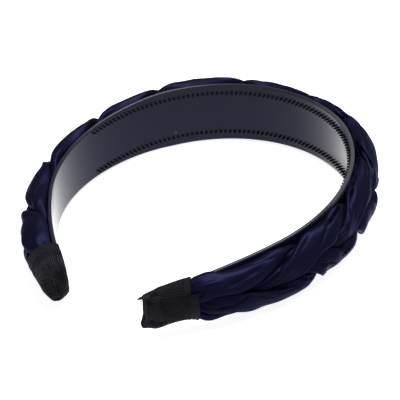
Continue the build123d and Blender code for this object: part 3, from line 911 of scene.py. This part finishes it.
def cap_outline(low, half, shoulder, high, shift, corner):
    """Outline across a cap as n and z, from the middle of its upper side outwards and round."""
    mid = (low + shoulder) / 2
    rise = high - shoulder
    radius = (half**2 + rise**2) / (2 * rise)
    spread = math.asin(half / radius)
    spread = spread if rise < half else math.pi - spread
    angle = np.linspace(spread, -spread, BOW_POINTS)
    bow = np.stack([high - radius + radius * np.cos(angle), shift + radius * np.sin(angle)], -1)
    up, down = shift + half, shift - half
    start, end = [(mid, up), (shoulder, up)], [(shoulder, down), (low, down), (low, up)]
    outline = np.concatenate([start, bow, end])
    ring = even_rings(outline[None], CAP_AROUND)[0]
    spacing = norm(outline - np.roll(outline, 1, 0), axis=1).sum() / CAP_AROUND
    waves = np.fft.fftfreq(CAP_AROUND)[:, None]
    smooth = np.exp(-2 * (np.pi * waves * corner / spacing) ** 2)
    return np.fft.ifft(np.fft.fft(ring, axis=0) * smooth, axis=0).real


def near_step(along, at, soft):
    """Smooth step at a place along a cap, with its soft start and end given from there."""
    return step_up(along, at + soft[0], at + soft[1])


def ripple(share, along, shape, start):
    """A wave round a cap that turns along it."""
    turns, length, height = shape
    return height * np.sin(TURN * turns * share + along / length + start)


def cap_lift(look, along, share, wander):
    """How far the ribbon stands out at each point of one ring of a cap, and its painted shade in the
    rib valleys less a painted highlight on pale crests.
    """
    ribbed = near_step(along, look.ribs_from, RIBS_START)
    ribbed *= 1 - (1 - look.ribs_after) * near_step(along, look.ribs_to, RIBS_STOP)
    ribbed = ribbed * (1 - (1 - look.ribs_below) * step_up(share, *RIBS_FADE))
    wave = look.lean * along
    for (size, length), start in zip(RIB_WAVER, wander):
        wave += size * math.sin(along / length + start)
    valley = 1 - np.abs(np.sin(np.pi * look.ribs * (share + wave)))
    # Painted shade in the rib valleys.
    mark = valley * (RIB_LEFT + (1 - RIB_LEFT) * ribbed)
    lift = -RIB_DEEP * mark * (RIB_EVEN + ripple(share, along, RIB_RIPPLE, wander[2]))
    lift -= STEP_LOWER * (1 - near_step(along, look.ribs_from, STEP_EDGE))
    lift -= SELVEDGE_GROOVE * np.exp(-(((along - SELVEDGE_AT) / SELVEDGE_WIDE) ** 2))
    lift += ripple(share, along, SLOW_RIPPLE, wander[2]) * step_up(along, SLOW_FROM, SLOW_FULL)
    towards_end = step_up(along, look.ribs_to - END_BEFORE, look.ribs_to)
    lift += ripple(share, along, END_RIPPLE, wander[3]) * towards_end
    # Painted highlight on the pale crests.
    start, end, pale = look.ribs_pale
    shown = near_step(along, start, PALE_START) * (1 - near_step(along, end, PALE_STOP))
    return lift, mark - pale * (1 - valley) * shown


def cap_presses(look, points):
    """How deep the dents and folds of a cap press each of its points in."""
    dents = sum(spot_mark(points, *dent) for dent in look.dents)
    return dents + line_marks(
        points, look.folds, FOLD_FADE, FOLD_LEFT, lambda away: np.exp(-(away**2)),
    )


def spot_mark(points, s, n, z, reach, size):
    """A soft round mark of some size about one place."""
    away = norm(points - place(s, n, z), axis=2)
    return size * np.exp(-((away / reach) ** 2))


def make_cap(name, side, table, look):
    """Ribbon sleeve round a leg: ribs, stepped mouth, folded end, dents and loose threads."""
    random = np.random.default_rng(RIB_SEED + side)
    wander = random.uniform(0, TURN, 4)
    share = np.arange(CAP_AROUND) / CAP_AROUND
    last = table[-1][0]
    rows = [(along, 1, 1) for along in np.linspace(0, last, CAP_ROWS)]
    rows += [(last + past, thick, wide) for past, thick, wide in TIP_FOLD]
    outer, inner, marks = [], [], []
    for along, thick, wide in rows:
        sizes = rows_at(table, [min(along, last)])[0]
        ring = cap_outline(*sizes)
        middle = np.array([(ring[:, 0].min() + ring[:, 0].max()) / 2, sizes[4]])
        ring = middle + (ring - middle) * (thick, wide)
        n, z = ring.T
        tangent = np.roll(ring, -1, 0) - np.roll(ring, 1, 0)
        out = np.stack([-tangent[:, 1], tangent[:, 0]], -1)
        out /= norm(out, axis=1, keepdims=True) + TINY
        out *= np.sign(((ring - middle) * out).sum())
        lift, mark = cap_lift(look, along, share, wander)
        lift = np.where(n < INNER_SIDE, np.maximum(lift, -INNER_DEEPEST), lift)[:, None]
        scallop = SCALLOP * (1 - step_up(along, 0, SCALLOP_TO))
        scallop = scallop * np.cos(TURN * look.ribs * share)
        mouth = np.interp(z, *zip(*look.mouth_z)) + np.interp(n, *zip(*look.mouth_n))
        to_end = min(along / last, 1)
        moved = mouth * (1 - to_end) + np.interp(z, *zip(*look.end_z)) * to_end
        shown = ring + out * lift * thick
        outer.append(place(side * (CAP_FROM + along + moved - scallop), *shown.T))
        marks.append(mark)
        if along <= last:
            wall = RIBBON_WALL + STEP_LOWER * step_up(n, WALL_FROM, WALL_FULL)
            thin = ring - out * wall[:, None]
            inner.append(place(side * (CAP_FROM + along + moved), *thin.T))
    outer, inner, marks = np.array(outer), np.array(inner), np.array(marks)
    press = cap_presses(look, outer)
    inward = press[:, :, None] * normals_of(outer)
    outer, inner = outer - inward, inner - inward[:len(inner)]
    # Painted shade on the fold over the tip.
    marks[len(inner):] += END_DARKER
    # Painted shade patches on the cap.
    for shade in look.shades:
        marks = marks + spot_mark(outer, *shade)
    # Painted shade in the dents and folds, painted highlight where they stand out.
    marks = np.clip(marks + FOLD_DARKER * np.clip(press, *FOLD_RANGE), -1, 1)
    lip = (outer[:1] + inner[:1]) / 2 + (outer[:1] - outer[1:2]) * LIP_ROUND
    fold = np.concatenate([np.zeros((len(inner) + 1, CAP_AROUND)), marks])
    tubes = [(np.concatenate([inner[::-1], lip, outer]), fold, True)]
    for path in look.threads:
        tubes += make_threads(random, *path)
    return mesh_piece(name, tubes)


def make_threads(random, start, middle, end, thick, count):
    """A wisp of threads, or one thread, from one point past another to a third, as s, n and z."""
    share = np.linspace(0, 1, THREAD_ROWS)[:, None]
    start, middle, end = (np.array(p, float) for p in (start, middle, end))
    line = start * (1 - share) ** 2 + 2 * middle * share * (1 - share) + end * share**2
    wisp = count > 1
    radius = thick * (WISP_THREAD if wisp else LONE_THREAD)
    tubes = []
    for _ in range(count):
        apart = random.normal(0, thick * WISP_APART, 3) * wisp
        curl = random.normal(0, thick * WISP_CURL, 3) * np.sin(np.pi * share)
        path = line + apart * (1 - WISP_JOINS * share) + curl * (1 if wisp else LONE_CURL)
        tubes.append((thread_tube(place(*path.T), radius, wisp), THREAD_PALE, False))
    return tubes


def thread_tube(path, radius, tapers):
    """A round thread along a path, thinner towards its end if it tapers."""
    ahead = np.gradient(path, axis=0)
    ahead /= norm(ahead, axis=1, keepdims=True)
    side = np.cross(ahead, THREAD_ACROSS)
    side /= norm(side, axis=1, keepdims=True)
    up = np.cross(ahead, side)
    angle = TURN * np.arange(THREAD_SIDES) / THREAD_SIDES
    thin = np.linspace(1, WISP_TAPER if tapers else 1, len(path))[:, None, None] * radius
    ring = np.stack([np.cos(angle), np.sin(angle)])[:, None, :, None]
    return path[:, None] + thin * (side[:, None] * ring[0] + up[:, None] * ring[1])


class Tree:
    """Short ways to add and join nodes in the tree of a material or world."""

    def __init__(self, owner):
        owner.use_nodes = True
        self.nodes, self.links = owner.node_tree.nodes, owner.node_tree.links

    def feed(self, node, inputs):
        """Sets inputs of a node on their sockets, or links them where a value is a socket."""
        for key, value in inputs.items():
            if isinstance(value, bpy.types.NodeSocket):
                self.links.new(value, node.inputs[key])
            else:
                node.inputs[key].default_value = value

    def add(self, kind, inputs, **settings):
        node = self.nodes.new(kind)
        for name, value in settings.items():
            setattr(node, name, value)
        self.feed(node, inputs)
        return node

    def fold(self):
        """How much painted shade or painted highlight each point has, or how pale a thread is."""
        return self.add("ShaderNodeAttribute", {}, attribute_name="fold").outputs["Fac"]

    def woven(self, kind, mapping, **inputs):
        """A texture in metres along and round a piece, scaled or turned."""
        weave = self.add("ShaderNodeAttribute", {}, attribute_name="weave").outputs["Vector"]
        where = self.add("ShaderNodeMapping", {"Vector": weave, **mapping}).outputs["Vector"]
        return self.add(kind, {"Vector": where, **inputs}).outputs["Fac"]

    def noise(self, scale, detail):
        return self.woven("ShaderNodeTexNoise", {"Scale": (*scale, 1)}, Scale=1, Detail=detail)

    def threads(self, scale, turn):
        """Fine parallel threads, turned by some degrees."""
        mapping = {"Rotation": (0, 0, math.radians(turn))}
        return self.woven("ShaderNodeTexWave", mapping, Scale=scale, Distortion=1.5, Detail=1)

    def ramp(self, source, ends, results, shape="SMOOTHSTEP"):
        """A value mapped from one range to another."""
        limits = zip(("From Min", "From Max", "To Min", "To Max"), (*ends, *results))
        inputs = {"Value": source, **dict(limits)}
        return self.add("ShaderNodeMapRange", inputs, interpolation_type=shape).outputs["Result"]

    def bump(self, height, deep, strength, before=None):
        """Bump of a height, deep metres at its full range, on top of another bump."""
        inputs = {"Height": height, "Distance": deep, "Strength": strength}
        if before:
            inputs["Normal"] = before
        return self.add("ShaderNodeBump", inputs).outputs["Normal"]

    def mixed(self, factor, *colours):
        """Two colours mixed by a factor."""
        node = self.add("ShaderNodeMix", {"Factor": factor}, data_type="RGBA")
        keys = [i for i, socket in enumerate(node.inputs) if socket.type == "RGBA"]
        self.feed(node, dict(zip(keys, colours)))
        return [socket for socket in node.outputs if socket.type == "RGBA"][0]


def material(name):
    """A new node material, its shader and its tree."""
    made = bpy.data.materials.new(name)
    tree = Tree(made)
    return made, tree.nodes["Principled BSDF"], tree


def satin_material():
    """Navy satin: dark blue, its gloss tinted by the thread, with painted shade in the creases and
    where the strands touch.
    """
    made, shader, tree = material("navy_satin")
    patches = tree.noise(scale=(35, 60), detail=2)
    streaks = tree.noise(scale=(90, 1500), detail=3)
    crumple = tree.noise(scale=(160, 330), detail=3)
    tone = tree.mixed(patches, NAVY, NAVY_LIGHT)
    # Painted shade in the creases and where the strands touch.
    deep = tree.ramp(tree.fold(), (0.1, 0.75), (0, 0.92))
    normal = tree.bump(crumple, deep=0.0003, strength=0.18)
    normal = tree.bump(streaks, deep=0.00004, strength=0.25, before=normal)
    weave = tree.threads(scale=1200, turn=63)
    tree.feed(shader, {
        "Base Color": tree.mixed(deep, tone, NAVY_SHADE),
        "Metallic": 0.65,
        "Roughness": tree.ramp(streaks, (0.3, 0.7), (0.4, 0.5)),
        "Specular IOR Level": 0.2,
        "Specular Tint": SATIN_TINT,
        "Sheen Weight": 0.015,
        "Sheen Roughness": 0.4,
        "Sheen Tint": SATIN_SHEEN,
        "Normal": tree.bump(weave, deep=0.00002, strength=0.2, before=normal),
    })
    return made


def plastic_material():
    """Black moulded plastic with a blue cast, faint rub marks, a few light specks, and painted
    highlights on its inner edges and along its upper edge.
    """
    made, shader, tree = material("black_plastic")
    rubs = tree.noise(scale=(60, 2500), detail=4)
    clouds = tree.noise(scale=(90, 120), detail=3)
    dust = tree.noise(scale=(300, 300), detail=0)
    tone = tree.mixed(clouds, PLASTIC_DARK, PLASTIC_LIGHT)
    edge_highlight = tree.fold()
    # Painted highlights on the inner edges and along the upper edge.
    tone = tree.mixed(tree.ramp(edge_highlight, (0.2, HIGHLIT_EDGES), (0, 1)), tone, EDGE_HIGHLIGHT)
    tone = tree.mixed(tree.ramp(edge_highlight, (HIGHLIT_EDGES, HIGHLIT_RIM), (0, 1)), tone, RIM_HIGHLIGHT)
    normal = tree.bump(clouds, deep=0.0002, strength=0.05)
    tree.feed(shader, {
        "Base Color": tree.mixed(tree.ramp(dust, (0.86, 0.89), (0, 0.5)), tone, DUST),
        "Roughness": tree.ramp(rubs, (0.35, 0.75), (0.19, 0.26)),
        "Normal": tree.bump(rubs, deep=0.00001, strength=0.2, before=normal),
    })
    return made


def tooth_plastic_material():
    """The same plastic on the teeth, duller and darker where the mould leaves it rough."""
    made, shader, tree = material("black_tooth_plastic")
    grain = tree.noise(scale=(1800, 1800), detail=2)
    tree.feed(shader, {
        "Base Color": tree.mixed(grain, TOOTH_DARK, TOOTH_LIGHT),
        "Roughness": tree.ramp(grain, (0.3, 0.7), (0.45, 0.6)),
        "Specular IOR Level": 0.15,
        "Normal": tree.bump(grain, deep=0.00005, strength=0.3),
    })
    return made


def ribbon_material():
    """Black grosgrain: dull ribs of fine cross threads, a little fluff, painted shade between the ribs,
    in dents and folds and over the tip, and painted highlight on pale crests and raised folds.
    """
    made, shader, tree = material("black_grosgrain")
    fluff = tree.noise(scale=(1400, 1400), detail=4)
    patches = tree.noise(scale=(240, 240), detail=2)
    tone = tree.mixed(patches, RIBBON_DARK, RIBBON_LIGHT)
    fold = tree.fold()
    # Painted highlight on pale crests and raised folds, and pale threads.
    tone = tree.mixed(tree.ramp(fold, (-1, 0), (1, 0)), tone, RIB_PALE)
    # Painted shade in rib valleys, dents, folds and over the tip.
    deep = tree.ramp(fold, (0.1, 0.95), (0, 0.88))
    normal = tree.bump(fluff, deep=0.00012, strength=0.5)
    threads = tree.threads(scale=900, turn=0)
    tree.feed(shader, {
        "Base Color": tree.mixed(deep, tone, RIBBON_SHADE),
        "Roughness": tree.ramp(fluff, (0.3, 0.7), (0.72, 0.9)),
        "Specular IOR Level": 0.2,
        "Sheen Weight": 0.05,
        "Sheen Roughness": 0.5,
        "Sheen Tint": RIBBON_SHEEN,
        "Normal": tree.bump(threads, deep=0.00005, strength=0.4, before=normal),
    })
    return made


def dress(piece, look, replaced):
    """Gives a piece its material and its body, and hides the CAD part that it stands for."""
    piece.data.materials.append(look)
    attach(piece, "root")
    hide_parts(replaced)
    return piece


def make_floor():
    """A pale floor that stays out of the reflections."""
    bpy.ops.mesh.primitive_plane_add(size=FLOOR_SIZE, location=FLOOR_AT)
    floor = bpy.context.object
    floor.name = "floor"
    look, shader, tree = material("pale_floor")
    tree.feed(shader, {
        "Base Color": FLOOR_TONE,
        "Roughness": 0.6,
        "Emission Color": WHITE,
        "Emission Strength": FLOOR_GLOW,
    })
    floor.data.materials.append(look)
    floor.visible_glossy = False


def make_world():
    """A pale table, brightest behind on the left, under an even and darker room."""
    world = bpy.data.worlds.new("studio")
    tree = Tree(world)
    where = tree.add("ShaderNodeTexCoord", {}).outputs["Generated"]
    inputs = {0: where, 1: WORLD_TOWARDS}
    towards = tree.add("ShaderNodeVectorMath", inputs, operation="DOT_PRODUCT")
    share = tree.ramp(towards.outputs["Value"], WORLD_ENDS, (0, 1), "LINEAR")
    power = tree.add("ShaderNodeMath", {0: share, 1: WORLD_POWER}, operation="POWER")
    table = tree.ramp(power.outputs["Value"], (0, 1), WORLD_LEVELS, "LINEAR")
    height = tree.add("ShaderNodeSeparateXYZ", {0: where}).outputs["Z"]
    level = tree.ramp(height, ABOVE_ENDS, (table, WORLD_ABOVE))
    tree.feed(tree.nodes["Background"], {"Color": WHITE, "Strength": level})
    bpy.context.scene.world = world


def make_light():
    """One large soft light above, turned to the middle of the floor."""
    data = bpy.data.lights.new("top_softbox", "AREA")
    data.shape = "RECTANGLE"
    data.size, data.size_y = LIGHT_SIZE
    data.energy = LIGHT_WATTS
    light = linked("top_softbox", data)
    light.location = LIGHT_AT
    light.rotation_mode = "QUATERNION"
    light.rotation_quaternion = (-Vector(LIGHT_AT)).to_track_quat("-Z", "Y")


def make_camera():
    """The photograph's camera, fitted in the band's own frame."""
    azimuth, elevation, roll = (math.radians(angle) for angle in CAMERA_ANGLES)
    flat = math.cos(elevation)
    back = np.array([math.sin(azimuth) * flat, -math.cos(azimuth) * flat, math.sin(elevation)])
    level = np.array([math.cos(azimuth), math.sin(azimuth), 0])
    upright = np.cross(back, level)
    right = math.cos(roll) * level + math.sin(roll) * upright
    up = -math.sin(roll) * level + math.cos(roll) * upright
    data = bpy.data.cameras.new("camera")
    data.lens = CAMERA_LENS
    data.sensor_width = CAMERA_SENSOR
    data.clip_start, data.clip_end = CAMERA_CLIP
    camera = linked("camera", data)
    axes = np.stack([LAID_TURN @ v for v in (right, up, back)], 1)
    spot = laid(np.array(CAMERA_TARGET) + back * CAMERA_DISTANCE)
    camera.matrix_world = Matrix([[*axes[i], spot[i]] for i in range(3)] + [[0, 0, 0, 1]])
    bpy.context.scene.camera = camera


satin = satin_material()
for k in range(3):
    strand = make_strand(k)
    dress(strand, satin, f"strand_{k + 1}")

band = dress(make_band(), plastic_material(), "band")
band.data.materials.append(tooth_plastic_material())

ribbon = ribbon_material()
caps = ("cap_left", -1, CAP_LEFT, LOOK_LEFT), ("cap_right", 1, CAP_RIGHT, LOOK_RIGHT)
for name, side, table, look in caps:
    cap = make_cap("ribbon_" + name, side, table, look)
    dress(cap, ribbon, name)

make_floor()
make_world()
make_light()
bpy.context.scene.view_settings.view_transform = "Standard"
make_camera()
